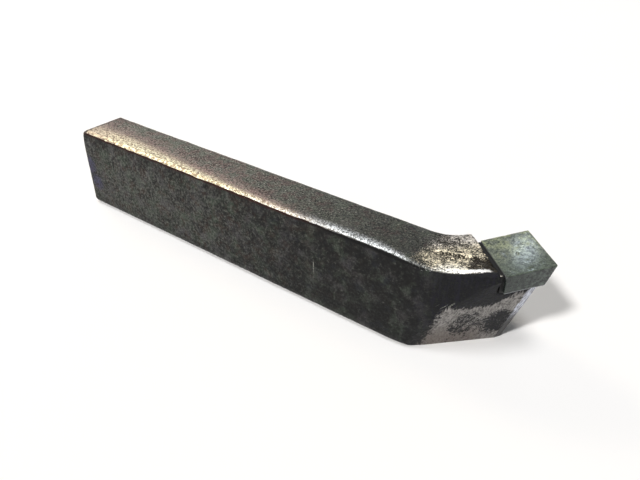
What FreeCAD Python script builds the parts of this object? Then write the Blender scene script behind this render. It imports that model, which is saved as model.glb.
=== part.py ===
import FreeCAD, Part
import math
import os

from FreeCAD import Placement, Rotation, Vector

# Brazed turning tool: a forged steel shank whose head is bent to one side, with a hard
# cutting tip brazed into an open pocket at the end of the head. Three pieces: the shank,
# the tip, and the thin layer of braze that holds the tip.
#
# Millimetres and degrees. +Z is up and the base is at Z = 0. The origin lies on the base,
# on the shank's centreline, halfway along its straight length. +X runs towards the head,
# and the head turns towards +Y.

# Straight shank
SHANK_WIDTH = 16.0
SHANK_HEIGHT = 25.0
STRAIGHT_LENGTH = 109.6
EDGE_RADIUS = 2.2
BACK_EDGE_RADIUS = 1.2

# Bent head, seen from above. Its outer side is the one that the cutting corner is on, and
# its reach is measured along it from the corner where the outer sides would meet.
BEND_ANGLE = 45.0
OUTER_BEND_RADIUS = 38.4
INNER_BEND_RADIUS = 8.0
HEAD_WIDTH = 18.8
HEAD_REACH = 21.6

# Ground faces on the steel under the tip, and the narrow land between them, which is turned
# a little away from the flank
FLANK_LEAN = 17.5
END_LEAN = 4.0
NOSE_LAND = 1.9
NOSE_TURN = 14.0

# Cutting tip: a plate whose two cutting sides are relieved below their edges
TIP_LENGTH = 11.3
TIP_WIDTH = 14.0
TIP_THICKNESS = 5.5
TIP_INSET = 0.2
RAKE = 9.7
SIDE_RELIEF = 9.0
END_RELIEF = 10.0
NOSE_RADIUS = 0.4

# How the tip sits on the steel: it stands out past the ground faces, in a pocket that is
# open on three sides and has one wall behind the tip
END_OVERHANG = 1.15
SIDE_OVERHANG = 0.15
POCKET_CORNER_RADIUS = 0.8
WALL_CORNER_RADIUS = 2.5

# Braze: a layer under the tip and a wider one behind it. They end short of the tip's top and
# of its cutting sides, and are flush with its far side.
BRAZE_UNDER = 0.25
BRAZE_BEHIND = 0.85
BRAZE_RECESS = 0.4
BRAZE_SETBACK = 0.75

# A length that is well past every face of the head, for the blocks that cut it, and how
# near an edge lies to a face that it is counted on
CLEAR = 3.0 * max(SHANK_HEIGHT, HEAD_WIDTH, HEAD_REACH)
NEAR = 0.01


def sine(angle):
    return math.sin(math.radians(angle))


def cosine(angle):
    return math.cos(math.radians(angle))


def tangent(angle):
    return math.tan(math.radians(angle))


# Frames

BACK_X = -STRAIGHT_LENGTH / 2
BEND_X = STRAIGHT_LENGTH / 2
OUTER_Y = -SHANK_WIDTH / 2
INNER_Y = SHANK_WIDTH / 2

# The head's frame stands at the corner where the outer sides of shank and head would meet.
# Its +X runs along the bent head and its +Y across it, from the outer side to the inner.
OUTER_CORNER = Vector(BEND_X + OUTER_BEND_RADIUS * tangent(BEND_ANGLE / 2), OUTER_Y, 0)
HEAD_FRAME = Placement(OUTER_CORNER, Rotation(Vector(0, 0, 1), BEND_ANGLE))

# The seat's frame lies on the pocket's floor at the foot of its wall. Its +X runs up the
# sloping floor to the cutting end, and its +Z is square to the floor. The tip's top back
# edge is level with the top of the shank.
TIP_BACK_EDGE = Vector(HEAD_REACH - TIP_LENGTH * cosine(RAKE), 0, SHANK_HEIGHT)
SEAT_TILT = Rotation(Vector(0, 1, 0), -RAKE)
SEAT_TO_EDGE = SEAT_TILT.multVec(Vector(BRAZE_BEHIND, 0, BRAZE_UNDER + TIP_THICKNESS))
SEAT_FRAME = HEAD_FRAME.multiply(Placement(TIP_BACK_EDGE - SEAT_TO_EDGE, SEAT_TILT))

# Where the tip's far side, cutting end and top lie in the seat's frame
TIP_FAR_Y = TIP_INSET + TIP_WIDTH
TIP_END_X = BRAZE_BEHIND + TIP_LENGTH
TIP_LOWER_END_X = TIP_END_X - TIP_THICKNESS * tangent(END_RELIEF + RAKE)
TIP_TOP_Z = BRAZE_UNDER + TIP_THICKNESS


def on_head(x, y, z):
    """A point of the head's frame, in the part's frame."""
    return HEAD_FRAME.multVec(Vector(x, y, z))


def on_seat(x, y, z):
    """A point of the seat's frame, in the part's frame."""
    return SEAT_FRAME.multVec(Vector(x, y, z))


def head_direction(x, y, z):
    """A direction of the head's frame, in the part's frame."""
    return HEAD_FRAME.Rotation.multVec(Vector(x, y, z))


# Helpers

def seat_block(low, high):
    """A box between two corners of the seat's frame."""
    box = Part.makeBox(high[0] - low[0], high[1] - low[1], high[2] - low[2], Vector(*low))
    box.Placement = SEAT_FRAME.multiply(box.Placement)
    return box


def cut_beyond(shape, face):
    """The shape without what lies past a flat face, on its outward side."""
    point, normal = face
    waste = Part.makeBox(2 * CLEAR, 2 * CLEAR, CLEAR, Vector(-CLEAR, -CLEAR, 0))
    waste.Placement = Placement(point, Rotation(Vector(0, 0, 1), normal))
    return shape.cut(waste)


def crossing(face_a, face_b, height):
    """The point at a height that lies on both of two flat faces."""
    point_a, normal_a = face_a
    point_b, normal_b = face_b
    up = Vector(0, 0, 1)
    total = normal_b.cross(up) * point_a.dot(normal_a)
    total += up.cross(normal_a) * point_b.dot(normal_b)
    total += normal_a.cross(normal_b) * height
    return total / normal_a.dot(normal_b.cross(up))


def edges_where(shape, test):
    return [edge for edge in shape.Edges if test(edge)]


def nearest_edge(shape, point):
    vertex = Part.Vertex(point)
    return min(shape.Edges, key=lambda edge: edge.distToShape(vertex)[0])


# Flat faces of the cutting end. Each is a point on the face and its outward normal.

def tip_side_face(setback):
    """The tip's side below its side cutting edge, or a face inside it."""
    edge = head_direction(cosine(RAKE), 0, sine(RAKE))
    down = head_direction(0, sine(SIDE_RELIEF), -cosine(SIDE_RELIEF))
    return on_seat(0, TIP_INSET + setback, TIP_TOP_Z), down.cross(edge).normalize()


def tip_end_face():
    """The tip's end below its end cutting edge."""
    return on_seat(TIP_END_X, 0, TIP_TOP_Z), head_direction(cosine(END_RELIEF), 0, -sine(END_RELIEF))


def steel_end_face(setback):
    """The ground end of the steel under the tip, or a face inside it."""
    point = on_seat(TIP_LOWER_END_X - END_OVERHANG - setback, 0, 0)
    return point, head_direction(cosine(END_LEAN), 0, -sine(END_LEAN))


def steel_flank_face():
    """The ground side of the steel, which starts under the tip's lower corner."""
    depth = on_seat(TIP_END_X, 0, TIP_TOP_Z).z - on_seat(TIP_LOWER_END_X, 0, BRAZE_UNDER).z
    inwards = TIP_INSET + depth * tangent(SIDE_RELIEF) + SIDE_OVERHANG
    point = on_seat(TIP_LOWER_END_X, inwards, BRAZE_UNDER)
    return point, head_direction(0, -cosine(FLANK_LEAN), -sine(FLANK_LEAN))


def steel_nose_face():
    """The narrow land that takes off the corner between the flank and the end."""
    flank = steel_flank_face()
    end = steel_end_face(0)
    edge = flank[1].cross(end[1]).normalize()
    along_flank = flank[1].cross(edge)
    corner = crossing(flank, end, SHANK_HEIGHT / 2)
    return corner + along_flank * NOSE_LAND, Rotation(edge, NOSE_TURN).multVec(flank[1])


# Shank

def bend_arc(start, radius):
    """The arc of a bend and the point where it ends, from where it leaves the shank."""
    centre = start + Vector(0, radius, 0)
    points = []
    for angle in (0, BEND_ANGLE / 2, BEND_ANGLE):
        points.append(centre + Vector(radius * sine(angle), -radius * cosine(angle), 0))
    return Part.Arc(*points).toShape(), points[-1]


# The bar is forged longer than the finished head, and the end face cuts it to length
RAW_REACH = HEAD_REACH + HEAD_WIDTH


def bar_outline():
    """The bent bar seen from above."""
    back_outer = Vector(BACK_X, OUTER_Y, 0)
    back_inner = Vector(BACK_X, INNER_Y, 0)
    outer_start = Vector(BEND_X, OUTER_Y, 0)
    outer_arc, outer_end = bend_arc(outer_start, OUTER_BEND_RADIUS)
    inner_corner_x = (SHANK_WIDTH - HEAD_WIDTH * cosine(BEND_ANGLE)) / sine(BEND_ANGLE)
    inner_corner = on_head(inner_corner_x, HEAD_WIDTH, 0)
    inner_start = inner_corner - Vector(INNER_BEND_RADIUS * tangent(BEND_ANGLE / 2), 0, 0)
    inner_arc, inner_end = bend_arc(inner_start, INNER_BEND_RADIUS)
    raw_outer = on_head(RAW_REACH, 0, 0)
    raw_inner = on_head(RAW_REACH, HEAD_WIDTH, 0)
    edges = [
        Part.makeLine(back_outer, outer_start),
        outer_arc,
        Part.makeLine(outer_end, raw_outer),
        Part.makeLine(raw_outer, raw_inner),
        Part.makeLine(raw_inner, inner_end),
        inner_arc,
        Part.makeLine(inner_start, back_inner),
        Part.makeLine(back_inner, back_outer),
    ]
    return Part.Face(Part.Wire(Part.__sortEdges__(edges)))


def forged_bar():
    """The bent bar with its long edges and its back end rounded."""
    bar = bar_outline().extrude(Vector(0, 0, SHANK_HEIGHT))
    into_head = HEAD_FRAME.inverse()

    def at_back(edge):
        return edge.BoundBox.XMax < BACK_X + NEAR

    def at_raw_end(edge):
        return all(into_head.multVec(end.Point).x > RAW_REACH - NEAR for end in edge.Vertexes)

    def is_long_edge(edge):
        level = edge.BoundBox.ZLength < NEAR
        return level and not at_back(edge) and not at_raw_end(edge)

    bar = bar.makeFillet(EDGE_RADIUS, edges_where(bar, is_long_edge))
    return bar.makeFillet(BACK_EDGE_RADIUS, edges_where(bar, at_back))


def pocket():
    """What is milled away for the tip: all that lies above the seat and before the wall.

    The wall turns away in a round corner before it reaches the head's inner side, and the
    cutter leaves its own radius along the wall's foot.
    """
    radius = WALL_CORNER_RADIUS
    wall_start = on_seat(0, -CLEAR, 0)
    turn_start = on_seat(0, HEAD_WIDTH - radius, 0)
    turn_middle = on_seat(radius * (cosine(45) - 1), HEAD_WIDTH + radius * (sine(45) - 1), 0)
    turn_end = on_seat(-radius, HEAD_WIDTH, 0)
    wall = [
        Part.makeLine(wall_start, turn_start),
        Part.Arc(turn_start, turn_middle, turn_end).toShape(),
    ]
    outside = Part.makePolygon([
        turn_end,
        on_seat(-radius, CLEAR, 0),
        on_seat(CLEAR, CLEAR, 0),
        on_seat(CLEAR, -CLEAR, 0),
        wall_start,
    ])
    floor = Part.Face(Part.Wire(wall + outside.Edges))
    space = floor.extrude(on_seat(0, 0, CLEAR) - on_seat(0, 0, 0))
    foot = [nearest_edge(space, on_seat(0, 0, 0)), nearest_edge(space, turn_middle)]
    return space.makeFillet(POCKET_CORNER_RADIUS, foot)


def make_shank():
    shank = forged_bar()
    shank = cut_beyond(shank, steel_end_face(0))
    shank = cut_beyond(shank, steel_flank_face())
    shank = cut_beyond(shank, steel_nose_face())
    return shank.cut(pocket())


# Carbide tip

def make_carbide_tip():
    tip = seat_block((BRAZE_BEHIND, TIP_INSET, BRAZE_UNDER), (TIP_END_X, TIP_FAR_Y, TIP_TOP_Z))
    tip = cut_beyond(tip, tip_side_face(0))
    tip = cut_beyond(tip, tip_end_face())
    middle_height = on_seat(TIP_END_X, 0, TIP_TOP_Z).z - TIP_THICKNESS / 2
    nose = crossing(tip_side_face(0), tip_end_face(), middle_height)
    return tip.makeFillet(NOSE_RADIUS, [nearest_edge(tip, nose)])


# Braze

def make_braze_filler(tip):
    """The layer under and behind the tip, which fills the pocket short of the cutting sides."""
    room = seat_block((0, 0, 0), (TIP_END_X, TIP_FAR_Y, TIP_TOP_Z - BRAZE_RECESS))
    layer = pocket().common(room)
    layer = cut_beyond(layer, tip_side_face(BRAZE_SETBACK))
    layer = cut_beyond(layer, steel_end_face(BRAZE_SETBACK))
    return layer.cut(tip)


carbide_tip = make_carbide_tip()
pieces = {
    "shank": make_shank(),
    "carbide_tip": carbide_tip,
    "braze_filler": make_braze_filler(carbide_tip),
}

os.makedirs("parts", exist_ok=True)
for name, piece in pieces.items():
    solid = piece.removeSplitter().Solids[0]
    solid.exportStep(os.path.join("parts", name + ".step"))
    box = solid.BoundBox
    size = " x ".join("%.2f" % length for length in (box.XLength, box.YLength, box.ZLength))
    print(name, "solids", len(piece.Solids), "valid", solid.isValid(), "size", size,
          "volume %.1f" % solid.Volume)
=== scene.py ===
"""Looks of the brazed turning tool: forged shank, ground flank, stained carbide tip and dull braze."""
import math
from collections import namedtuple

import bmesh
import bpy
import numpy as np
from mathutils import Matrix, Vector, noise


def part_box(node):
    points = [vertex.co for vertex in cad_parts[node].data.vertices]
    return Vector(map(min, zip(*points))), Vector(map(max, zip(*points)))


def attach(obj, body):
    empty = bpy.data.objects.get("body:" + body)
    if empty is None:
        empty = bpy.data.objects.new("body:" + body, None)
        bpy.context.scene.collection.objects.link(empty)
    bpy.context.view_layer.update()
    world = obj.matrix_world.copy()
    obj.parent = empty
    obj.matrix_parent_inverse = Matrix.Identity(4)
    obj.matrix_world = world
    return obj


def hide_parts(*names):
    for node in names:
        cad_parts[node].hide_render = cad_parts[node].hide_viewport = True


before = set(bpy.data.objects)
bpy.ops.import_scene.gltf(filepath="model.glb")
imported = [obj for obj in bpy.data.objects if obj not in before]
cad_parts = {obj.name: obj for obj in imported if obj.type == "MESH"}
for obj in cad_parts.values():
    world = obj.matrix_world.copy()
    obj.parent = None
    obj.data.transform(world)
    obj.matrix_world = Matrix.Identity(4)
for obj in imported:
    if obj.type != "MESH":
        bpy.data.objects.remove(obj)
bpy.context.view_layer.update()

MM = 0.001
shank_low, shank_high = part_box("shank")

# Driving sizes of the shank, in metres
STRAIGHT_END = -shank_low.x
HALF_WIDTH = -shank_low.y
HEIGHT = shank_high.z
BEND_ANGLE = math.radians(45)
OUTER_BEND_RADIUS = 38.4 * MM
INNER_BEND_RADIUS = 8 * MM
FLANK_LEAN = math.radians(17.5)

# Frame of the head: its corner is where the outer sides of shank and head would meet
HEAD_CORNER = Vector((STRAIGHT_END + OUTER_BEND_RADIUS * math.tan(BEND_ANGLE / 2), -HALF_WIDTH, 0))
HEAD_ALONG = Vector((math.cos(BEND_ANGLE), math.sin(BEND_ANGLE), 0))
HEAD_ACROSS = Vector((-math.sin(BEND_ANGLE), math.cos(BEND_ANGLE), 0))
UP = Vector((0, 0, 1))

# Centres that the outer and the inner side of the bend turn round
OUTER_PIVOT = Vector((STRAIGHT_END, OUTER_BEND_RADIUS - HALF_WIDTH, 0))
INNER_PIVOT = Vector((STRAIGHT_END + 2 * MM, HALF_WIDTH + INNER_BEND_RADIUS, 0))

# The ground flank leans in below the tip, from the upper end of the head's corner
FLANK_NORMAL = (-HEAD_ACROSS * math.cos(FLANK_LEAN) - UP * math.sin(FLANK_LEAN)).normalized()
FLANK_TOP = HEAD_CORNER + UP * HEIGHT

# The top's outer edge is rounded only as far as a crease, where the almost flat side begins
EDGE_RADIUS = 2.2 * MM
CREASE_INWARD = 0.78 * MM
SIDE_DRAFT = 6 * MM
BACK_RADIUS = 1.8 * MM

# Where the pocket's wall meets the top of the head, along the head
WALL_ALONG = 9.4 * MM

# The tip: where it starts along the head, its thickness, and the middle of its upper end edge
RAKE = math.radians(9.7)
TIP_START = WALL_ALONG + 0.85 * MM
TIP_THICKNESS = 5.5 * MM
SEAT_NORMAL = UP * math.cos(RAKE) - HEAD_ALONG * math.sin(RAKE)
TIP_END = HEAD_CORNER + HEAD_ALONG * 21.5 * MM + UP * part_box("carbide_tip")[1].z

# The land between the flank and the ground end faces this way
NOSE_NORMAL = (HEAD_ALONG * 0.24 - HEAD_ACROSS * 0.92 - UP * 0.307).normalized()

# The hammered patch starts here along the head, and is longest at this distance across it
PATCH_START = -6.4 * MM
PATCH_MIDDLE = 10 * MM

# How finely the pieces are cut up
STEEL_STEP = 0.6 * MM
PATCH_STEP = 0.3 * MM
CREASE_STEP = 0.2 * MM
TIP_STEP = 0.35 * MM
BRAZE_STEP = 0.3 * MM

# Edges that turn by more than this stay sharp
SHARP_EDGE = math.radians(32)
SHARP_BRAZE_EDGE = math.radians(40)

# The photograph's camera, from the fit to the tool's edges
PHOTO_WIDTH = 640
FOCAL_PIXELS = 588.2
SHIFT_PIXELS = (6.6, 12.4)
AZIMUTH, ELEVATION, ROLL = math.radians(35.04), math.radians(35.01), math.radians(1.24)
CAMERA_TARGET = Vector((30.13, -2.91, 12.5)) * MM
CAMERA_DISTANCE = 151.04 * MM

# Lights and stage
LAMP_DISTANCE = 0.6
AMBIENT = 0.12
FLOOR_REACH = 3.0


# Meshes

def node_mesh(node):
    """A bmesh of a CAD node, with its flat faces in one piece each."""
    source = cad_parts[node]
    bm = bmesh.new()
    bm.from_mesh(source.data)
    bm.transform(source.matrix_world)
    bmesh.ops.remove_doubles(bm, verts=bm.verts, dist=0.002 * MM)
    bmesh.ops.dissolve_limit(bm, angle_limit=math.radians(0.4), verts=bm.verts, edges=bm.edges)
    return bm


def slice_up(bm, along, step, start=None, stop=None, chosen=None):
    """Cuts the mesh, or its chosen faces, with parallel planes that are one step apart."""
    reach = [vert.co.dot(along) for vert in bm.verts]
    start = min(reach) if start is None else start
    stop = max(reach) if stop is None else stop
    count = math.ceil((stop - start) / step)
    places = [along * (start + (stop - start) * index / count) for index in range(1, count)]
    cut_all(bm, [(place, along) for place in places], chosen)


def fan_out(bm, pivot, angle, step):
    """Cuts the mesh with planes that turn round an upright line."""
    count = math.ceil(angle / step)
    turns = [angle * index / count for index in range(count + 1)]
    cut_all(bm, [(pivot, Vector((math.cos(turn), math.sin(turn), 0))) for turn in turns])


def cut_all(bm, planes, chosen=None):
    """Cuts all faces, or the chosen ones, with each plane in turn."""
    faces = [face for face in bm.faces if chosen is None or chosen(face)]
    edges = dict.fromkeys(edge for face in faces for edge in face.edges)
    verts = dict.fromkeys(vert for face in faces for vert in face.verts)
    geometry = [*faces, *edges, *verts]
    for point, normal in planes:
        cut = bmesh.ops.bisect_plane(bm, geom=geometry, dist=0.01 * MM, plane_co=point, plane_no=normal)
        geometry = cut["geom"]


def relax(points, edges, weight, rounds):
    """Moves each point towards the middle of its neighbours, by its own weight."""
    count = np.maximum(np.bincount(edges.ravel(), minlength=len(points)), 1)
    for _ in range(rounds):
        middle = np.zeros_like(points)
        for axis in range(3):
            middle[:, axis] += np.bincount(edges[:, 0], points[edges[:, 1], axis], len(points))
            middle[:, axis] += np.bincount(edges[:, 1], points[edges[:, 0], axis], len(points))
        points = points + weight[:, None] * (middle / count[:, None] - points)
    return points


def ease(value, low, high):
    """Smooth step from 0 at low to 1 at high, for arrays."""
    part = np.clip((value - low) / (high - low), 0, 1)
    return part * part * (3 - 2 * part)


def rough(points, size, seed, octaves=2):
    """Fractal noise of about -1 to 1 at each point, with lumps of one size."""
    shift = Vector((seed * 7.31, seed * 3.17, seed * 5.53))
    return np.array([noise.fractal(Vector(point) / size + shift, 1.0, 2.0, octaves) for point in points])


def points_of(bm):
    return np.array([vert.co for vert in bm.verts])


def normals_of(bm):
    bm.normal_update()
    return np.array([vert.normal for vert in bm.verts])


def place_points(bm, points):
    for vert, point in zip(bm.verts, points):
        vert.co = point


def finish_piece(bm, name, node, material, sharp_angle):
    """Makes the piece from its bmesh, and lets it stand for its CAD node."""
    for face in bm.faces:
        face.smooth = True
    for edge in bm.edges:
        edge.smooth = len(edge.link_faces) == 2 and edge.calc_face_angle(0) < sharp_angle
    mesh = bpy.data.meshes.new(name)
    bm.to_mesh(mesh)
    bm.free()
    piece = bpy.data.objects.new(name, mesh)
    bpy.context.scene.collection.objects.link(piece)
    mesh.materials.append(material)
    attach(piece, "root")
    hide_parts(node)
    return piece


# Places on the shank, for arrays of points

def head_places(points):
    """How far each point is along the head and across it from its outer side."""
    offset = points - np.array(HEAD_CORNER)
    return offset @ np.array(HEAD_ALONG), offset @ np.array(HEAD_ACROSS)


def inward_of(points):
    """How far each point is from the outer side of the shank and its bend."""
    ahead = np.maximum(points[:, 0] - STRAIGHT_END, 0)
    return OUTER_BEND_RADIUS - np.hypot(ahead, points[:, 1] - OUTER_PIVOT.y)


def cut_shank():
    """The shank's faces, cut into a grid that follows the bend and is finest on the hammered patch."""
    bm = node_mesh("shank")
    square = Vector((1, 0, 0))
    aside = Vector((0, 1, 0))
    middle = (aside + HEAD_ACROSS).normalized()
    head_start = INNER_PIVOT.dot(HEAD_ALONG)

    def lies_flat(face):
        return abs(face.normal.z) > 0.6

    def flat_straight(face):
        return (lies_flat(face) or face.normal.x < -0.5) and face.calc_center_median().x < INNER_PIVOT.x

    def in_head(face):
        return face.calc_center_median().dot(HEAD_ALONG) > head_start

    def flat_bend(face):
        return lies_flat(face) and not in_head(face) and face.calc_center_median().x > INNER_PIVOT.x

    def flat_head(face):
        return in_head(face) and (lies_flat(face) or face.normal.dot(HEAD_ALONG) > 0.5)

    def on_patch(face):
        centre = face.calc_center_median()
        return face.normal.z > 0.8 and (centre - HEAD_CORNER).dot(HEAD_ALONG) > PATCH_START - 2 * MM

    def at_outer_edge(face):
        centre = face.calc_center_median()
        near_top = centre.z > HEIGHT - 2 * MM and face.normal.z < 0.999
        return near_top and inward_of(np.array([centre]))[0] < 2.6 * MM

    slice_up(bm, square, STEEL_STEP, stop=INNER_PIVOT.x)
    fan_out(bm, INNER_PIVOT, BEND_ANGLE, math.radians(1.5))
    slice_up(bm, HEAD_ALONG, STEEL_STEP, start=head_start)
    slice_up(bm, aside, STEEL_STEP, chosen=flat_straight)
    slice_up(bm, middle, STEEL_STEP, chosen=flat_bend)
    slice_up(bm, HEAD_ACROSS, STEEL_STEP, chosen=flat_head)
    slice_up(bm, UP, STEEL_STEP)
    slice_up(bm, UP, CREASE_STEP, start=HEIGHT - 1.6 * MM, stop=HEIGHT, chosen=at_outer_edge)
    slice_up(bm, HEAD_ALONG, PATCH_STEP, start=head_start - 14 * MM, chosen=on_patch)
    slice_up(bm, HEAD_ACROSS, PATCH_STEP, start=HEAD_CORNER.dot(HEAD_ACROSS), chosen=on_patch)
    bmesh.ops.dissolve_degenerate(bm, edges=bm.edges, dist=0.03 * MM)
    bm.verts.index_update()
    return bm


def dress_up(points, normals, edges):
    """The forged surface: every change goes inwards, so the piece stays in the size of its node."""
    along, across = head_places(points)
    inward = inward_of(points)
    height = points[:, 2]
    flank_normal = np.array(FLANK_NORMAL)
    below_flank = (points - np.array(FLANK_TOP)) @ flank_normal
    on_flank = ease(below_flank, -0.4 * MM, -0.1 * MM) * ease(normals @ flank_normal, 0.9, 0.97)
    on_top = ease(normals[:, 2], 0.6, 0.95)

    # The crease between the bend and the ground flank is blended, and so is the foot of the bend
    crease = 1 - ease(np.abs(below_flank) + np.abs(inward), 0.6 * MM, 3.2 * MM)
    crease = crease * (1 - ease(height, 20 * MM, 23 * MM))
    points = relax(points, edges, 0.8 * crease, 12)

    depth = wave_depth(points, height, on_flank) + shoulder_depth(points, inward, on_top)
    on_patch = on_top * patch_region(along, across) * ease(inward, 1.2 * MM, 3.0 * MM)
    depth = depth + hammered_depth(points, along, across, height, on_patch)
    points = points - normals * np.maximum(depth, 0)[:, None]
    return round_back(press_crease(points, along, inward, height))


def wave_depth(points, height, on_flank):
    """Forging leaves slow waves and shallow dents, but the base is flat and the flank is ground."""
    waves = 0.11 * MM * rough(points, 11 * MM, 1, 1) + 0.05 * MM * rough(points, 3 * MM, 2, 2)
    resting = 1 - ease(height, 0, 1.5 * MM)
    depth = np.maximum(0.09 * MM - waves, 0) * (1 - 0.8 * on_flank) * (1 - resting)
    return depth * (0.3 + 0.7 * ease(points[:, 0], -STRAIGHT_END, 10 * MM - STRAIGHT_END))


def shoulder_depth(points, inward, on_top):
    """The top falls away towards its worn outer edge, most at the back."""
    back = 1 - ease(points[:, 0], -STRAIGHT_END, 0.8 * STRAIGHT_END)
    shoulder = (1 - ease(inward, 0.5 * MM, (4 + 3 * back) * MM)) * on_top
    return (0.08 + 0.12 * back) * MM * shoulder


def hammered_depth(points, along, across, height, on_patch):
    """The top of the head is hammered rough, with a ridge and a lip along it."""
    grid = np.column_stack([along / 1.8, across, height])
    lumps = np.abs(rough(grid, 1.1 * MM, 5, 3))
    fine = np.abs(rough(grid, 0.5 * MM, 7, 2))
    ridge = ridge_places(along, across) + 0.25 * MM * rough(points, 2.5 * MM, 6, 2)
    near_ridge = on_patch * (1 - ease(np.abs(along - 3.5 * MM), 4 * MM, 8 * MM))
    lip = np.exp(-(ridge / (0.45 * MM)) ** 2) * near_ridge
    step_down = ease(-ridge, 0, 0.7 * MM) * (1 - ease(-ridge, 0.9 * MM, 4.0 * MM)) * near_ridge
    depth = on_patch * MM * (0.02 + 0.34 * lumps + 0.20 * fine)
    return depth - 0.16 * MM * lip + 0.20 * MM * step_down


def press_crease(points, along, inward, height):
    """The rounded outer edge ends in a wavy crease, which dies out on the head."""
    wander = rough(points * np.array([1, 0, 0]), 5 * MM, 3, 2)
    edge = (CREASE_INWARD + 0.22 * MM * wander) * (1 - ease(along, -14 * MM, -2 * MM))
    below = HEIGHT - height
    crease_below = EDGE_RADIUS - np.sqrt(EDGE_RADIUS ** 2 - (EDGE_RADIUS - edge) ** 2)
    wanted = edge * (1 - ease(below, crease_below, crease_below + SIDE_DRAFT))
    push = np.maximum(wanted - inward, 0) * ease(below, crease_below - 0.12 * MM, crease_below)
    push = push * (inward < 3 * MM)
    outward = points - np.array(OUTER_PIVOT)
    outward[:, 0] = np.maximum(outward[:, 0], 0)
    outward[:, 2] = 0
    outward = outward / np.maximum(np.linalg.norm(outward, axis=1), MM)[:, None]
    return points - outward * push[:, None]


def round_back(points):
    """Wears the upper edge of the back end round."""
    ahead = BACK_RADIUS - (points[:, 0] + STRAIGHT_END)
    above = BACK_RADIUS - (HEIGHT - points[:, 2])
    reach = np.hypot(ahead, above)
    proud = (ahead > 0) & (above > 0) & (reach > BACK_RADIUS)
    share = np.where(proud, BACK_RADIUS / np.maximum(reach, MM), 1)
    points[:, 0] = BACK_RADIUS - STRAIGHT_END - ahead * share
    points[:, 2] = HEIGHT - BACK_RADIUS + above * share
    return points


def ridge_places(along, across):
    """How far a place is across the head from the ridge of the hammered patch."""
    return across - 11.8 * MM + 0.48 * along


def patch_region(along, across):
    """1 on the hammered patch of the head's top, 0 off it."""
    far = np.maximum(across - PATCH_MIDDLE, 0)
    near = np.maximum(PATCH_MIDDLE - across, 0)
    return ease(along - 1.18 * far - 0.7 * near, PATCH_START - 1.5 * MM, PATCH_START + 1.5 * MM)


def make_shank(material):
    bm = cut_shank()
    normals = normals_of(bm)
    edges = np.array([[vert.index for vert in edge.verts] for edge in bm.edges])
    place_points(bm, dress_up(points_of(bm), normals, edges))
    return finish_piece(bm, "shank_surface", "shank", material, SHARP_EDGE)


def make_tip(material):
    """The tip with broken edges, small chips along them and shallow pits."""
    bm = node_mesh("carbide_tip")
    corners = [edge for edge in bm.edges if edge.calc_face_angle(0) > math.radians(30)]
    bmesh.ops.bevel(bm, geom=corners, offset=0.12 * MM, segments=2, profile=0.5, affect="EDGES")
    for direction in (HEAD_ALONG, HEAD_ACROSS, UP):
        slice_up(bm, direction, TIP_STEP)
    bmesh.ops.dissolve_degenerate(bm, edges=bm.edges, dist=0.01 * MM)
    points = points_of(bm)
    normals = normals_of(bm)
    pits = ease(rough(points, 0.7 * MM, 8, 3), 0.45, 0.9)
    depth = 0.05 * MM * pits + 0.004 * MM * (1 + rough(points, 4 * MM, 9, 1))
    place_points(bm, points - normals * np.maximum(depth, 0)[:, None])
    return finish_piece(bm, "tip_surface", "carbide_tip", material, SHARP_EDGE)


def make_braze(material):
    """The braze with the lumps and hollows of filler that ran in and set."""
    bm = node_mesh("braze_filler")
    for direction in (HEAD_ALONG, HEAD_ACROSS, UP):
        slice_up(bm, direction, BRAZE_STEP)
    points = points_of(bm)
    normals = normals_of(bm)
    lumps = rough(points, 1.1 * MM, 14, 3)
    place_points(bm, points + normals * (0.10 * MM * lumps)[:, None])
    return finish_piece(bm, "braze_surface", "braze_filler", material, SHARP_BRAZE_EDGE)


# Materials

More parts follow.
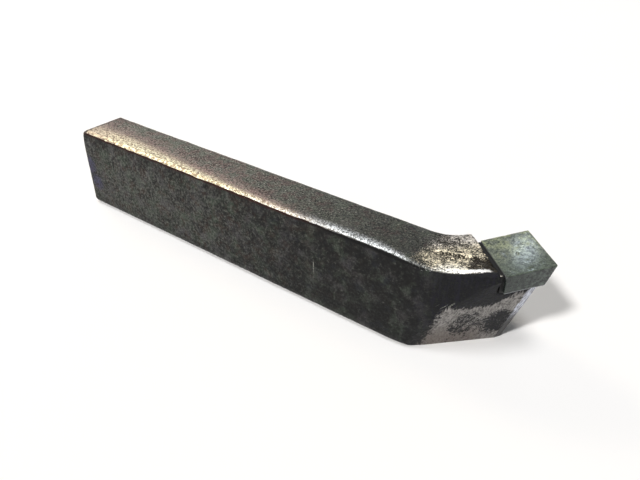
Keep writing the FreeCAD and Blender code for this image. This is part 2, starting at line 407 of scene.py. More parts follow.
class Look:
    """A material in the making. Each method adds nodes to it and gives back a socket."""

    def __init__(self, name):
        self.material = bpy.data.materials.new(name)
        self.material.use_nodes = True
        self.tree = self.material.node_tree
        self.tree.nodes.clear()
        coordinates = self.add("TexCoord")
        self.place = coordinates.outputs["Object"]
        self.facing = coordinates.outputs["Normal"]

    def add(self, kind, inputs=None, **settings):
        node = self.tree.nodes.new("ShaderNode" + kind)
        for name, value in settings.items():
            setattr(node, name, value)
        for name, value in (inputs or {}).items():
            self.feed(node.inputs[name], value)
        return node

    def feed(self, socket, value):
        if isinstance(value, bpy.types.NodeSocket):
            self.tree.links.new(value, socket)
        elif value is not None:
            socket.default_value = value

    def math(self, operation, first, second=None, clamp=False):
        node = self.add("Math", operation=operation, use_clamp=clamp)
        self.feed(node.inputs[0], first)
        self.feed(node.inputs[1], second)
        return node.outputs[0]

    def dot(self, direction, origin=(0, 0, 0)):
        """How far the surface point lies along a direction from an origin, in metres."""
        offset = self.add("VectorMath", operation="SUBTRACT")
        self.feed(offset.inputs[0], self.place)
        self.feed(offset.inputs[1], origin)
        node = self.add("VectorMath", operation="DOT_PRODUCT")
        self.feed(node.inputs[0], offset.outputs[0])
        self.feed(node.inputs[1], direction)
        return node.outputs["Value"]

    def faces(self, direction):
        """How squarely the surface faces a direction, from -1 to 1."""
        node = self.add("VectorMath", operation="DOT_PRODUCT")
        self.feed(node.inputs[0], self.facing)
        self.feed(node.inputs[1], direction)
        return node.outputs["Value"]

    def step_line(self, value, low, high):
        """Straight line from 0 at low to 1 at high, and level outside them."""
        inputs = {"Value": value, "From Min": low, "From Max": high}
        return self.add("MapRange", inputs).outputs["Result"]

    def step(self, value, low, high, start=0.0, stop=1.0):
        """Smooth step from start at low to stop at high. High may be the lower of the two."""
        inputs = {"Value": value, "From Min": low, "From Max": high, "To Min": start, "To Max": stop}
        return self.add("MapRange", inputs, interpolation_type="SMOOTHSTEP").outputs["Result"]

    def times(self, *factors):
        """Product of two or more numbers."""
        result = factors[0]
        for factor in factors[1:]:
            result = self.math("MULTIPLY", result, factor)
        return result

    def plus(self, *parts):
        """Sum of two or more numbers."""
        result = parts[0]
        for part in parts[1:]:
            result = self.math("ADD", result, part)
        return result

    def minus(self, first, second):
        return self.math("SUBTRACT", first, second)

    def line(self, value, middle, half_width):
        """1 in the middle of a narrow band of values, 0 outside it."""
        return self.step(self.math("ABSOLUTE", self.minus(value, middle)), half_width, 0.2 * half_width)

    def spot(self, first, second, middle, radii):
        """1 in the middle of an ellipse in two coordinates, 0 outside it."""
        parts = []
        for value, centre, radius in zip((first, second), middle, radii):
            part = self.math("DIVIDE", self.minus(value, centre), radius)
            parts.append(self.math("POWER", self.math("ABSOLUTE", part), 2.0))
        return self.step(self.plus(*parts), 1.0, 0.0)

    def noise(self, size, seed, detail=3.0, roughness=0.55, stretch=(1, 1, 1), turn=0.0):
        """Noise with lumps of one size in metres, moved on by its seed and stretched on request."""
        move = self.add("Mapping", {"Vector": self.place}, vector_type="TEXTURE")
        move.inputs["Location"].default_value = (seed * 0.731, seed * 0.317, seed * 0.553)
        move.inputs["Rotation"].default_value = (0, 0, turn)
        move.inputs["Scale"].default_value = [size * part for part in stretch]
        inputs = {"Vector": move.outputs[0], "Scale": 1.0, "Detail": detail, "Roughness": roughness}
        return self.add("TexNoise", inputs).outputs["Fac"]

    def pattern(self, values, sizes, seed, detail=2.0):
        """Noise over two coordinates, each with its own size of lump."""
        parts = [self.math("DIVIDE", value, size) for value, size in zip(values, sizes)]
        place = self.add("CombineXYZ", {"X": parts[0], "Y": parts[1], "Z": seed * 3.7})
        inputs = {"Vector": place.outputs[0], "Scale": 1.0, "Detail": detail}
        return self.add("TexNoise", inputs).outputs["Fac"]

    def mix(self, factor, first, second):
        """Colour between two others."""
        node = self.add("Mix", data_type="RGBA")
        self.feed(node.inputs["Factor"], factor)
        self.feed(node.inputs[6], first if isinstance(first, bpy.types.NodeSocket) else (*first, 1))
        self.feed(node.inputs[7], second if isinstance(second, bpy.types.NodeSocket) else (*second, 1))
        return node.outputs[2]

    def blend(self, factor, first, second):
        """Number between two others."""
        node = self.add("Mix", data_type="FLOAT")
        self.feed(node.inputs["Factor"], factor)
        self.feed(node.inputs[2], first)
        self.feed(node.inputs[3], second)
        return node.outputs[0]

    def bump(self, height):
        """The surface's normal, bent by a height in metres."""
        return self.add("Bump", {"Height": height, "Distance": 1.0}).outputs[0]

    def finish(self, colour, roughness, metallic, normal, **uniform):
        """Joins the sockets to one Principled shader."""
        inputs = {"Base Color": colour, "Roughness": roughness, "Metallic": metallic, "Normal": normal}
        node = self.add("BsdfPrincipled", inputs)
        for name, value in uniform.items():
            node.inputs[name.replace("_", " ")].default_value = value
        self.add("OutputMaterial", {"Surface": node.outputs[0]})
        return self.material


Layer = namedtuple("Layer", "mask colour roughness metallic")


def stack(look, base, layers):
    """Lays the layers over the base, each where its mask is 1."""
    colour, roughness, metallic = base.colour, base.roughness, base.metallic
    for layer in layers:
        colour = look.mix(layer.mask, colour, layer.colour)
        roughness = look.blend(layer.mask, roughness, layer.roughness)
        metallic = look.blend(layer.mask, metallic, layer.metallic)
    return colour, roughness, metallic


class Steel(Look):
    """The shank's material, with the coordinates that its layers are placed by."""

    def __init__(self):
        super().__init__("forged_steel")

        # Where a point is on the bar, on the head, and inward from the outer side of both
        axes = self.add("SeparateXYZ", {"Vector": self.place})
        self.x, self.y, self.z = axes.outputs
        self.along = self.dot(HEAD_ALONG, HEAD_CORNER)
        self.across = self.dot(HEAD_ACROSS, HEAD_CORNER)
        ahead = self.math("MAXIMUM", self.minus(self.x, STRAIGHT_END), 0.0)
        aside = self.minus(self.y, OUTER_PIVOT.y)
        flat = self.add("CombineXYZ", {"X": ahead, "Y": aside, "Z": 0.0})
        radius = self.add("VectorMath", operation="LENGTH")
        self.feed(radius.inputs[0], flat.outputs[0])
        self.inward = self.minus(OUTER_BEND_RADIUS, radius.outputs["Value"])
        self.upward = self.faces(UP)
        self.upper = self.step(self.upward, 0.38, 0.55)
        self.on_top = self.step(self.z, HEIGHT - 1.9 * MM, HEIGHT - 1.2 * MM)

        # Noises that several layers share
        self.grain = self.noise(0.27 * MM, 2, detail=2, roughness=0.7)
        self.speckle = self.noise(0.8 * MM, 4, detail=3, roughness=0.65)
        self.dots = self.plus(self.times(self.speckle, 0.6), self.times(self.grain, 0.4))
        self.streaks = self.noise(0.5 * MM, 9, detail=3, stretch=(1, 1, 9))
        self.crust = self.noise(
            0.42 * MM, 8, detail=4, roughness=0.7, turn=BEND_ANGLE, stretch=(1.6, 1, 1))
        self.glitter = self.noise(0.5 * MM, 14, detail=3, roughness=0.75)

        # How far in the painted highlight strip's lower edge and the painted shade rim beside the bend
        # lie
        growth = self.math("POWER", self.step_line(self.along, -6 * MM, WALL_ALONG - 1 * MM), 1.8)
        self.strip_low = self.plus(self.times(growth, 1.5 * MM), 0.40 * MM)
        self.shade_rim = self.step(self.x, 52 * MM, 64 * MM, 0.85 * MM, 0.30 * MM)
        self.patch = self.patch_mask()

    def scale(self):
        """Dark forging scale: green, brown and grey patches with a fine grain, darker at the edges."""
        patches = self.noise(5 * MM, 1, detail=5, roughness=0.7)
        rust = self.noise(3 * MM, 5, detail=4, roughness=0.65)
        front = self.step(self.x, -25 * MM, 62 * MM)
        fewer = self.times(front, 0.07)
        hue = self.noise(6 * MM, 19, detail=2)
        light = self.mix(self.step(hue, 0.40, 0.60), (0.050, 0.047, 0.049), (0.042, 0.054, 0.040))
        shown = self.step(self.minus(patches, fewer), 0.38, 0.62)
        colour = self.mix(shown, (0.003, 0.003, 0.0028), light)
        brown = self.times(self.step(rust, 0.50, 0.62, 0, 0.8), self.step(front, 1.2, 0.2))
        colour = self.mix(brown, colour, (0.030, 0.017, 0.013))
        specks = self.step(self.minus(self.dots, fewer), 0.46, 0.62, 0, 0.80)
        colour = self.mix(specks, colour, (0.108, 0.112, 0.095))
        colour = self.mix(self.step(self.glitter, 0.52, 0.30, 0, 0.9), colour, (0.003, 0.003, 0.003))
        blue = self.times(self.step(rust, 0.44, 0.36), front, 0.5)
        colour = self.mix(blue, colour, (0.010, 0.012, 0.020))
        off_middle = self.math("ABSOLUTE", self.minus(self.z, 0.48 * HEIGHT))
        ends = self.step(off_middle, 0.20 * HEIGHT, 0.52 * HEIGHT, 0, 0.75)
        ends = self.times(ends, self.step(patches, 0.64, 0.42), self.step(self.upward, 0.5, 0.2))
        darker = self.times(front, self.step(patches, 0.40, 0.58, 0.80, 0.22))
        colour = self.mix(self.math("MAXIMUM", ends, darker), colour, (0.0035, 0.0035, 0.0033))
        roughness = self.step(self.speckle, 0.35, 0.65, 0.70, 0.46)
        return Layer(None, colour, roughness, 0.0)

    def top_bloom_and_sheen(self):
        """Brown, mauve and grey speckle on the upward faces, partly real bloom and partly painted sheen
        that is strongest at the back; the few bright grains are painted glints.
        """
        drift = self.noise(2.6 * MM, 6, detail=3)
        spots = self.noise(0.55 * MM, 7, detail=3, roughness=0.75)
        olive = self.plus(drift, self.step(self.x, 0, 45 * MM, 0, 0.12))
        colour = self.mix(self.step(olive, 0.42, 0.58), (0.24, 0.17, 0.15), (0.176, 0.188, 0.150))
        # Painted glints: a few bright grains
        colour = self.mix(self.step(self.glitter, 0.57, 0.66, 0, 0.9), colour, (0.80, 0.73, 0.64))
        # Painted sheen: the top's speckle is strongest towards the back
        backwards = self.step(self.x, 56 * MM, 0, 0.34, 0.90)
        patchy = self.step(drift, 0.30, 0.55, 0.65, 1.0)
        speckled = self.step(self.plus(self.times(spots, 0.6), self.times(self.grain, 0.4)), 0.44, 0.58)
        mask = self.times(self.step(self.upward, 0.5, 0.95), speckled, backwards, patchy)
        return Layer(mask, colour, 0.42, 0.35)

    def worn_haze_and_sheen(self):
        """Mauve and brown bare metal on the top, partly wear and partly painted sheen, fading in towards
        its worn outer edge.
        """
        width = self.step(self.x, -STRAIGHT_END, 0.7 * STRAIGHT_END, 15 * MM, 4.5 * MM)
        band = self.step(self.inward, width, self.times(width, 0.15))
        fade = self.step(self.x, 40 * MM, 16 * MM)
        broken = self.step(self.plus(self.speckle, self.times(band, 0.12)), 0.44, 0.64)
        colour = self.mix(self.step(self.grain, 0.42, 0.64), (0.20, 0.130, 0.115), (0.66, 0.50, 0.44))
        return Layer(self.times(band, self.upper, fade, broken, 0.85), colour, 0.42, 0.75)

    def worn_shoulder_and_highlight(self):
        """Pale gold bare metal beside the crease, partly wear and partly a painted highlight, ragged
        above and broken by dark specks.
        """
        width = self.step(self.x, -STRAIGHT_END, 0.5 * STRAIGHT_END, 8.6 * MM, 2.4 * MM)
        ragged = self.plus(self.inward, self.times(self.minus(self.speckle, 0.5), 5 * MM))
        band = self.step(ragged, width, self.times(width, 0.45))
        fade = self.step(self.x, 50 * MM, 34 * MM)
        end = self.step(self.x, -STRAIGHT_END, 20 * MM - STRAIGHT_END, 0.35, 1)
        broken = self.step(self.plus(self.glitter, self.times(band, 0.10)), 0.42, 0.56)
        # Painted highlight colour: warm gold at the back, white towards the front
        cool = self.step(self.x, 0, 36 * MM)
        light = self.mix(cool, (1.0, 0.95, 0.69), (0.95, 0.97, 0.98))
        lumps = self.plus(self.times(self.speckle, 0.55), self.times(self.grain, 0.45))
        colour = self.mix(self.step(lumps, 0.45, 0.56), (0.25, 0.19, 0.13), light)
        return Layer(self.times(band, self.upper, fade, end, broken), colour, 0.36, 0.92)

    def worn_bend_and_glints(self):
        """Cool bare metal in fine specks on the rounded edge, whose brightest specks are painted glints,
        fading out where the bend ends.
        """
        width = self.step(self.x, 48 * MM, 62 * MM, 4.4 * MM, 1.8 * MM)
        above_rim = self.step(self.minus(self.inward, self.shade_rim), 0, 0.4 * MM)
        band = self.times(self.step(self.inward, width, self.times(width, 0.3)), above_rim)
        reach = self.times(self.step(self.x, 24 * MM, 40 * MM), self.step(self.along, 2 * MM, -3 * MM))
        reach = self.times(reach, self.step(self.x, 60 * MM, 55 * MM, 0.25, 1.0))
        dots = self.plus(self.times(self.grain, 0.4), self.times(self.glitter, 0.6))
        dots = self.plus(dots, self.times(band, 0.10))
        broken = self.step(dots, 0.46, 0.57)
        colour = self.mix(self.step(dots, 0.55, 0.64), (0.25, 0.26, 0.26), (0.88, 0.91, 0.92))
        mask = self.times(band, self.upper, self.on_top, reach, broken)
        return Layer(mask, colour, 0.30, 0.95)

    def painted_strip_highlight(self):
        """A painted highlight line along the head's outer edge, which tapers off before the pocket."""
        belly = self.spot(self.along, self.along, (6 * MM, 6 * MM), (5 * MM, 5 * MM))
        half = self.plus(self.times(belly, 0.34 * MM), 0.26 * MM)
        middle = self.plus(self.strip_low, half)
        ragged = self.plus(self.inward, self.times(self.minus(self.glitter, 0.5), 1.4 * MM))
        off = self.math("DIVIDE", self.math("ABSOLUTE", self.minus(ragged, middle)), half)
        reach = self.step(self.along, -9 * MM, -2 * MM)
        reach = self.times(reach, self.step(self.along, 8.8 * MM, 7.8 * MM))
        solid = self.step(self.plus(self.grain, self.step(self.along, 0, 4 * MM, 0, 0.3)), 0.53, 0.62)
        mask = self.times(self.step(off, 1.1, 0.6), reach, self.on_top, solid)
        # Painted highlight: near-white metal where the edge catches the light
        return Layer(mask, (1.0, 0.99, 0.96), 0.30, 1.0)

    def patch_mask(self):
        """Where the top of the head is hammered: it fades in along a bent edge."""
        far = self.times(self.math("MAXIMUM", self.minus(self.across, PATCH_MIDDLE), 0.0), 1.18)
        near = self.times(self.math("MAXIMUM", self.minus(PATCH_MIDDLE, self.across), 0.0), 0.7)
        ragged = self.times(self.minus(self.speckle, 0.5), 7 * MM)
        sweep = self.plus(self.minus(self.minus(self.along, far), near), ragged)
        sweep = self.plus(sweep, self.times(self.minus(self.grain, 0.5), 9 * MM))
        region = self.step(sweep, PATCH_START - 1.5 * MM, PATCH_START + 2.5 * MM)
        return self.times(region, self.step(self.upward, 0.45, 0.8))

    def hammered_patch(self):
        """Rough bright metal, tinted by old flux, with a ridge: a painted highlight makes it whitest at
        its near edge, another runs along the ridge's crest, and painted shade lies in the hollow below
        the ridge and at the lower right.
        """
        places = (self.along, self.across)
        # Painted shade at the lower right and a painted highlight near the outer edge
        shade = self.spot(*places, (9 * MM, 5.0 * MM), (5.5 * MM, 4.2 * MM))
        highlight_spot = self.spot(*places, (-1.0 * MM, 3.5 * MM), (6.5 * MM, 4.2 * MM))
        corner = self.spot(*places, (8.5 * MM, 16.5 * MM), (3 * MM, 4 * MM))
        ridge = self.plus(self.minus(self.across, 11.8 * MM), self.times(self.along, 0.48))
        ridge = self.plus(ridge, self.times(self.minus(self.speckle, 0.5), 1.6 * MM))
        stretch = self.step(self.math("ABSOLUTE", self.minus(self.along, 3.3 * MM)), 5.5 * MM, 3.0 * MM)
        # Painted highlight on the ridge's crest and painted shade in the hollow below it
        crest_highlight = self.times(self.line(ridge, 0.1 * MM, 0.55 * MM), stretch)
        hollow_shade = self.times(self.line(ridge, -0.8 * MM, 0.8 * MM), stretch)
        far = self.step(self.across, 11 * MM, 15 * MM)
        drift = self.noise(2.5 * MM, 16, detail=3)
        level = self.plus(self.times(self.crust, 0.75), self.times(self.grain, 0.75))
        level = self.plus(level, self.times(drift, 0.4), self.times(crest_highlight, 0.10))
        level = self.plus(level, self.times(corner, 0.08), self.times(highlight_spot, 0.12), -0.53)
        darker = self.plus(self.times(hollow_shade, 0.06), self.times(far, 0.03))
        level = self.minus(self.minus(level, self.times(shade, 0.17)), darker)
        light = self.mix(far, (1.0, 0.90, 0.68), (0.74, 0.69, 0.62))
        light = self.mix(highlight_spot, light, (1.0, 0.98, 0.88))
        colour = self.mix(self.step(level, 0.35, 0.57), (0.028, 0.024, 0.018), light)
        return Layer(self.times(self.patch, self.on_top), colour, 0.32, 0.90)

    def black_head_and_shade(self):
        """The head's side above the ground flank is nearly black, and the rounded edge below the strip
        is painted nearly black as shade.
        """
        streaks = self.noise(0.6 * MM, 17, detail=2, stretch=(1, 1, 8))
        streaky = self.step(streaks, 0.35, 0.75)
        colour = self.mix(streaky, (0.002, 0.002, 0.003), (0.0068, 0.0062, 0.0125))
        colour = self.mix(self.step(self.glitter, 0.50, 0.66, 0, 0.8), colour, (0.011, 0.013, 0.008))
        # Painted shade on the rounded edge below the highlight strip
        upper_end = self.plus(self.strip_low, 0.1 * MM)
        rounded = self.step(self.inward, upper_end, self.minus(self.strip_low, 0.15 * MM))
        sideways = self.math("MAXIMUM", self.step(self.upward, 0.3, 0.0), rounded)
        side = self.step(self.x, 57 * MM, 70 * MM, 0, 0.92)
        under = self.times(rounded, self.step(self.along, -7 * MM, -1 * MM))
        mask = self.math("MAXIMUM", self.times(side, sideways), under)
        return Layer(mask, colour, 0.6, 0.0)

    def ground_flank(self):
        """Bare ground steel under the tip: a ragged edge, upright scratches and dark blotches."""
        ragged = self.times(self.minus(self.streaks, 0.5), 5 * MM)
        upper_edge = self.step(self.along, 8 * MM, 17.5 * MM, 14.7 * MM, 19.4 * MM)
        below = self.step(self.minus(self.plus(upper_edge, ragged), self.z), -0.3 * MM, 0.9 * MM)
        left_edge = self.minus(self.times(self.z, 0.17), 3.4 * MM)
        fringe = self.times(self.minus(self.speckle, 0.5), 6 * MM)
        right = self.step(self.minus(self.plus(self.along, fringe), left_edge), -0.4 * MM, 1.2 * MM)
        facing = self.step(self.faces(FLANK_NORMAL), 0.80, 0.93)
        soil = self.noise(0.8 * MM, 10, detail=5, roughness=0.8)
        patches = self.noise(3 * MM, 18, detail=2)
        first = self.spot(self.along, self.z, (14.5 * MM, 7.5 * MM), (5.5 * MM, 6.5 * MM))
        second = self.spot(self.along, self.z, (6 * MM, 8 * MM), (5.5 * MM, 6.5 * MM))
        dirt = self.plus(soil, self.times(first, 0.27), self.times(second, 0.17))
        dirt = self.plus(dirt, self.times(patches, 0.25))
        dirt = self.plus(dirt, self.times(self.minus(self.grain, 0.5), 0.5))
        clean = self.step(dirt, 0.80, 0.68, 0.0, 1.0)
        clean = self.times(clean, self.step(self.glitter, 0.64, 0.56, 0.3, 1.0))
        colour = self.mix(self.step(self.streaks, 0.32, 0.68), (0.15, 0.142, 0.132), (0.31, 0.295, 0.28))
        low = self.step(self.z, 10 * MM, 3 * MM)
        foot = self.times(low, self.step(self.along, 15 * MM, 8 * MM), 0.7)
        colour = self.mix(foot, colour, (0.135, 0.108, 0.092))
        colour = self.mix(self.step(self.grain, 0.60, 0.72, 0, 0.7), colour, (0.46, 0.45, 0.43))
        return Layer(self.times(below, right, facing, clean), colour, 0.45, 0.75)

    def ground_end(self):
        """The end face under the tip, ground like the flank and dulled since."""
        facing = self.step(self.faces(HEAD_ALONG), 0.92, 0.98)
        soil = self.noise(1.6 * MM, 23, detail=5, roughness=0.75)
        clean = self.step(self.plus(soil, self.times(self.minus(self.grain, 0.5), 0.3)), 0.62, 0.46)
        colour = self.mix(self.step(self.streaks, 0.32, 0.68), (0.12, 0.108, 0.100), (0.24, 0.225, 0.21))
        return Layer(self.times(facing, clean), colour, 0.45, 0.75)

    def end_bevel(self):
        """The land at the nose: a painted cool highlight high up, and darker towards its foot."""
        facing = self.step(self.faces(NOSE_NORMAL), 0.978, 0.990)
        facing = self.times(facing, self.step(self.along, 13 * MM, 15 * MM))
        ragged = self.plus(self.z, self.times(self.minus(self.streaks, 0.5), 9 * MM))
        # Painted highlight on the land's upper part
        highlight_band = self.step(ragged, 7 * MM, 14 * MM)
        light = self.mix(self.step(self.streaks, 0.40, 0.60), (0.26, 0.27, 0.31), (0.58, 0.60, 0.68))
        colour = self.mix(highlight_band, (0.030, 0.028, 0.028), light)
        return Layer(facing, colour, 0.42, 0.85)

    def pocket_dirt(self):
        """Black flux in the pocket, from its rounded foot to where the tip covers it."""
        inside = self.step(self.along, WALL_ALONG, WALL_ALONG + 0.4 * MM)
        inside = self.times(inside, self.step(self.z, 14 * MM, 16 * MM))
        covered = self.step(self.along, 14 * MM, 12 * MM)
        covered = self.math("MAXIMUM", self.step(self.upward, 0.2, 0.5), covered)
        mask = self.times(inside, covered, self.step(self.faces(FLANK_NORMAL), 0.96, 0.88))
        return Layer(mask, (0.005, 0.005, 0.005), 0.8, 0.0)

    def shoulder_shade_line(self):
        """A painted dark line of shade below the crease where the rounded edge meets the side, reddish
        towards the back, and painted shade along the rim below the bend's band.
        """
        ragged = self.plus(self.z, self.times(self.minus(self.speckle, 0.5), 1.4 * MM))
        line = self.step(ragged, HEIGHT - 1.6 * MM, HEIGHT - 1.0 * MM)
        outer = self.step(self.inward, 2.0 * MM, 1.3 * MM)
        outer = self.times(outer, self.step(self.upward, 0.55, 0.38))
        front = self.times(self.step(self.x, 26 * MM, 42 * MM), self.step(self.along, 1 * MM, -5 * MM))
        shade_rim = self.step(self.minus(self.inward, self.shade_rim), 0.4 * MM, 0)
        outer = self.math("MAXIMUM", outer, self.times(shade_rim, front))
        reddish = self.step(self.x, 40 * MM, 20 * MM)
        # Painted shade colour, reddish towards the back
        colour = self.mix(reddish, (0.003, 0.003, 0.003), (0.026, 0.008, 0.006))
        return Layer(self.times(line, outer, 0.95), colour, 0.9, 0.0)

    def back_tint(self):
        """Two violet spots of temper tint at the back end of the outer side."""
        upper = self.spot(self.x, self.z, (-53 * MM, 14 * MM), (3.2 * MM, 4.0 * MM))
        lower = self.spot(self.x, self.z, (-51 * MM, 8.5 * MM), (3.2 * MM, 3.4 * MM))
        side = self.times(self.step(self.upward, 0.4, 0.1), self.step(self.y, -1 * MM, -5 * MM))
        either = self.math("MAXIMUM", upper, lower)
        mask = self.times(either, self.step(self.speckle, 0.35, 0.6), side, 0.9)
        return Layer(mask, (0.036, 0.034, 0.085), 0.5, 0.3)

    def back_rim(self):
        """The back end's worn edge is dark again."""
        ragged = self.plus(self.x, self.times(self.minus(self.speckle, 0.5), 2 * MM))
        mask = self.step(ragged, 2.4 * MM - STRAIGHT_END, 1.0 * MM - STRAIGHT_END, 0, 0.85)
        return Layer(self.times(mask, self.upper), (0.030, 0.023, 0.021), 0.6, 0.2)

    def scratches(self):
        """One upright scratch on the side and a few slanting ones on the bend."""
        upright = self.plus(self.x, self.times(self.z, 0.05))
        first = self.line(upright, 34.4 * MM, 0.20 * MM)
        first = self.times(first, self.line(self.z, 12.5 * MM, 2.6 * MM))
        length = self.plus(self.times(self.along, 0.66), self.times(self.z, 0.75))
        width = self.minus(self.times(self.z, 0.66), self.times(self.along, 0.75))
        fibres = self.pattern((length, width), (5 * MM, 0.28 * MM), 12)
        area = self.spot(self.along, self.z, (0.2 * MM, 15.0 * MM), (2.6 * MM, 2.4 * MM))
        second = self.times(area, self.step(fibres, 0.60, 0.68))
        side = self.step(self.upward, 0.4, 0.1)
        either = self.math("MAXIMUM", first, second)
        mask = self.times(either, self.step(self.grain, 0.35, 0.6), side, 0.8)
        return Layer(mask, (0.34, 0.34, 0.30), 0.4, 0.7)

    def relief(self):
        """Height of the grain, dents, crust and scratches that are too fine for the mesh, in metres."""
        pits = self.times(self.noise(0.30 * MM, 3, detail=3, roughness=0.65), 0.065 * MM)
        pits = self.plus(pits, self.times(self.glitter, 0.06 * MM))
        dents = self.times(self.noise(1.2 * MM, 13, detail=2), 0.12 * MM)
        crust = self.times(self.crust, self.patch, 0.40 * MM)
        return self.bump(self.plus(pits, dents, crust))


def forged_steel():
    look = Steel()
    layers = [
        look.top_bloom_and_sheen(), look.back_tint(), look.worn_haze_and_sheen(), look.worn_shoulder_and_highlight(), look.back_rim(),
        look.hammered_patch(), look.black_head_and_shade(), look.worn_bend_and_glints(), look.painted_strip_highlight(),
        look.ground_flank(), look.ground_end(), look.end_bevel(), look.pocket_dirt(),
        look.shoulder_shade_line(), look.scratches(),
    ]
    colour, roughness, metallic = stack(look, look.scale(), layers)
    return look.finish(colour, roughness, metallic, look.relief(), Specular_IOR_Level=0.2)


def carbide():
    """Stained carbide: a mottled grey-green top with pits and yellow stains; the sides are painted
    darker as shade, lighter towards the nose, with a painted highlight along their back and lower edges.
    """
    look = Look("carbide")
    mottle = look.noise(0.8 * MM, 11, detail=4, roughness=0.75)
    fleck = look.noise(0.30 * MM, 12, detail=2, roughness=0.75)
    stain = look.noise(2.6 * MM, 13, detail=3)
    across = look.dot(HEAD_ACROSS, HEAD_CORNER)
    along = look.dot(HEAD_ALONG, HEAD_CORNER)
    light = look.mix(look.step(across, 1 * MM, 10 * MM), (0.085, 0.110, 0.078), (0.165, 0.186, 0.140))
    colour = look.mix(look.step(mottle, 0.36, 0.60), (0.033, 0.045, 0.030), light)
    yellow = look.times(look.step(stain, 0.42, 0.58), look.step(across, 4 * MM, 12 * MM))
    yellow = look.times(yellow, look.step(mottle, 0.36, 0.54), 0.75)
    colour = look.mix(yellow, colour, (0.31, 0.345, 0.19))
    colour = look.mix(look.step(fleck, 0.53, 0.65, 0, 0.92), colour, (0.022, 0.027, 0.020))
    colour = look.mix(look.step(fleck, 0.42, 0.30, 0, 0.5), colour, (0.36, 0.39, 0.33))
    pits = look.noise(0.7 * MM, 15, detail=2)
    colour = look.mix(look.step(pits, 0.64, 0.72, 0, 0.85), colour, (0.020, 0.024, 0.018))
    # Painted shade on the sides, lightening towards the nose
    towards_nose = look.step(along, 11 * MM, 21 * MM)
    painted_side_light = look.mix(towards_nose, (0.046, 0.060, 0.049), (0.100, 0.122, 0.106))
    shaded_sides = look.mix(look.step(mottle, 0.4, 0.65), (0.018, 0.022, 0.021), painted_side_light)
    # Painted highlight along the sides' back and lower edges
    upright = look.step(along, TIP_START + 0.45 * MM, TIP_START + 0.15 * MM)
    depth = look.dot(SEAT_NORMAL, TIP_END)
    level = look.step(depth, 0.35 * MM - TIP_THICKNESS, 0.10 * MM - TIP_THICKNESS)
    shaded_sides = look.mix(look.math("MAXIMUM", upright, level), shaded_sides, (0.22, 0.23, 0.24))
    colour = look.mix(look.step(look.faces(UP), 0.4, 0.8), shaded_sides, colour)
    roughness = look.step(mottle, 0.3, 0.7, 0.14, 0.09)
    relief = look.plus(look.times(fleck, 0.0008 * MM), look.times(stain, 0.004 * MM))
    return look.finish(colour, roughness, 0.25, look.bump(relief), Specular_IOR_Level=0.5)


def braze():
    """Filler metal, blackened by flux, with a little dull brass showing and a small painted glint at the
    groove's near end.
    """
    look = Look("braze")
    mottle = look.noise(0.5 * MM, 21, detail=3)
    along = look.dot(HEAD_ALONG, HEAD_CORNER)
    across = look.dot(HEAD_ACROSS, HEAD_CORNER)
    # Painted glint: a small bright spot at the top of the groove's near end
    painted_glint = look.spot(along, across, (9.55 * MM, 1.5 * MM), (0.75 * MM, 0.45 * MM))
    painted_glint = look.times(painted_glint, look.step(mottle, 0.46, 0.54), look.step(look.faces(UP), 0.3, 0.6))
    show = look.step(mottle, 0.60, 0.76, 0, 0.15)
    colour = look.mix(show, (0.005, 0.005, 0.005), (0.12, 0.10, 0.07))
    colour = look.mix(painted_glint, colour, (0.75, 0.72, 0.62))
    height = look.times(look.noise(0.4 * MM, 22, detail=2), 0.05 * MM)
    metallic = look.math("MAXIMUM", show, painted_glint)
    return look.finish(colour, 0.5, metallic, look.bump(height), Specular_IOR_Level=0.2)


# Stage, lights and camera

def make_floor():
    look = Look("pale_floor")
    colour = look.mix(look.noise(60 * MM, 31, detail=1), (0.965, 0.965, 0.965), (0.975, 0.975, 0.975))
    material = look.finish(colour, 0.9, 0.0, None)
    mesh = bpy.data.meshes.new("floor")
    corners = [(x * FLOOR_REACH, y * FLOOR_REACH, 0) for x, y in ((-1, -1), (1, -1), (1, 1), (-1, 1))]
    mesh.from_pydata(corners, [], [(0, 1, 2, 3)])
    floor = bpy.data.objects.new("floor", mesh)
    bpy.context.scene.collection.objects.link(floor)
    mesh.materials.append(material)


def make_lamp(name, aim, towards, size, power, colour):
    """A square lamp that stands in a direction from the point that it is aimed at."""
    lamp = bpy.data.lights.new(name, "AREA")
    lamp.size = size
    lamp.energy = power
    lamp.color = colour
    place = Vector(towards).normalized()
    holder = bpy.data.objects.new(name, lamp)
    holder.location = Vector(aim) * MM + place * LAMP_DISTANCE
    holder.rotation_euler = place.to_track_quat("Z", "Y").to_euler()
    bpy.context.scene.collection.objects.link(holder)


def make_sun(name, towards, width, strength, colour):
    """A sun that shines from a direction. Its width is the angle that it fills in the sky."""
    sun = bpy.data.lights.new(name, "SUN")
    sun.angle = width
    sun.energy = strength
    sun.color = colour
    holder = bpy.data.objects.new(name, sun)
    holder.rotation_euler = Vector(towards).normalized().to_track_quat("Z", "Y").to_euler()
    bpy.context.scene.collection.objects.link(holder)


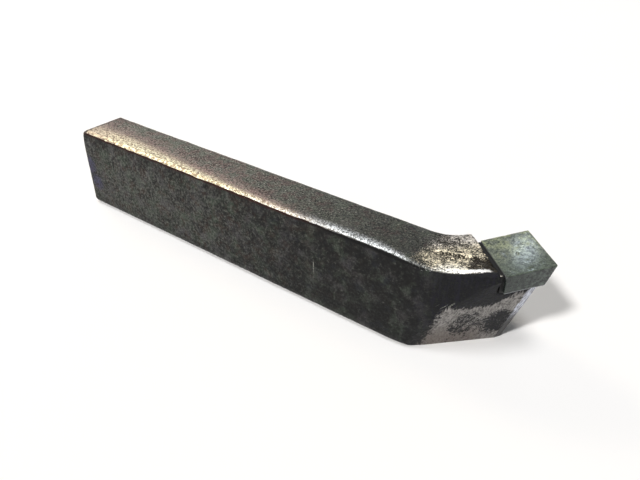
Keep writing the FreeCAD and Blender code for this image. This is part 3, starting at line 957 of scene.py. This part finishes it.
def make_world():
    """Even light from all round, and a white background for the camera and in reflections."""
    world = bpy.data.worlds.new("studio")
    bpy.context.scene.world = world
    world.use_nodes = True
    tree = world.node_tree
    background = tree.nodes["Background"]
    background.inputs["Color"].default_value = (0.97, 0.98, 1.0, 1)
    rays = tree.nodes.new("ShaderNodeLightPath")
    seen = rays.outputs["Is Camera Ray"]
    for name in ("Is Glossy Ray", "Is Transmission Ray"):
        either = tree.nodes.new("ShaderNodeMath")
        either.operation = "MAXIMUM"
        tree.links.new(seen, either.inputs[0])
        tree.links.new(rays.outputs[name], either.inputs[1])
        seen = either.outputs[0]
    strength = tree.nodes.new("ShaderNodeMapRange")
    strength.inputs["To Min"].default_value = AMBIENT
    strength.inputs["To Max"].default_value = 1.0
    tree.links.new(seen, strength.inputs["Value"])
    tree.links.new(strength.outputs["Result"], background.inputs["Strength"])


def make_camera():
    """The photograph's camera, from the fit to the tool's edges."""
    level_share = math.cos(ELEVATION)
    aside, ahead = math.sin(AZIMUTH) * level_share, math.cos(AZIMUTH) * level_share
    back = Vector((aside, -ahead, math.sin(ELEVATION)))
    level = UP.cross(back).normalized()
    right = math.cos(ROLL) * level + math.sin(ROLL) * back.cross(level)
    above = back.cross(right)
    eye = CAMERA_TARGET + back * CAMERA_DISTANCE
    data = bpy.data.cameras.new("camera")
    data.sensor_width = 36
    data.lens = FOCAL_PIXELS / PHOTO_WIDTH * data.sensor_width
    data.shift_x = SHIFT_PIXELS[0] / PHOTO_WIDTH
    data.shift_y = SHIFT_PIXELS[1] / PHOTO_WIDTH
    data.clip_start = 0.005
    camera = bpy.data.objects.new("camera", data)
    camera.matrix_world = Matrix.Translation(eye) @ Matrix((right, above, back)).transposed().to_4x4()
    bpy.context.scene.collection.objects.link(camera)
    bpy.context.scene.camera = camera


make_shank(forged_steel())
make_tip(carbide())
make_braze(braze())
make_floor()
make_world()
make_sun("key", (-0.14, -0.96, 1.0), math.radians(6), 2.46, (1.0, 0.98, 0.96))
make_sun("overhead", (0, -0.18, 1), math.radians(16), 0.98, (1.0, 1.0, 1.0))
make_lamp("warm_side", (-20, 0, 25), (-0.74, 0.16, 0.64), 0.18, 0.60, (1.0, 0.84, 0.60))
make_lamp("cool_back", (76.3, 8, 25), (-0.31, 0.69, 0.66), 0.024, 0.0145, (0.72, 0.80, 1.0))
make_camera()

bpy.context.scene.view_settings.view_transform = "Standard"
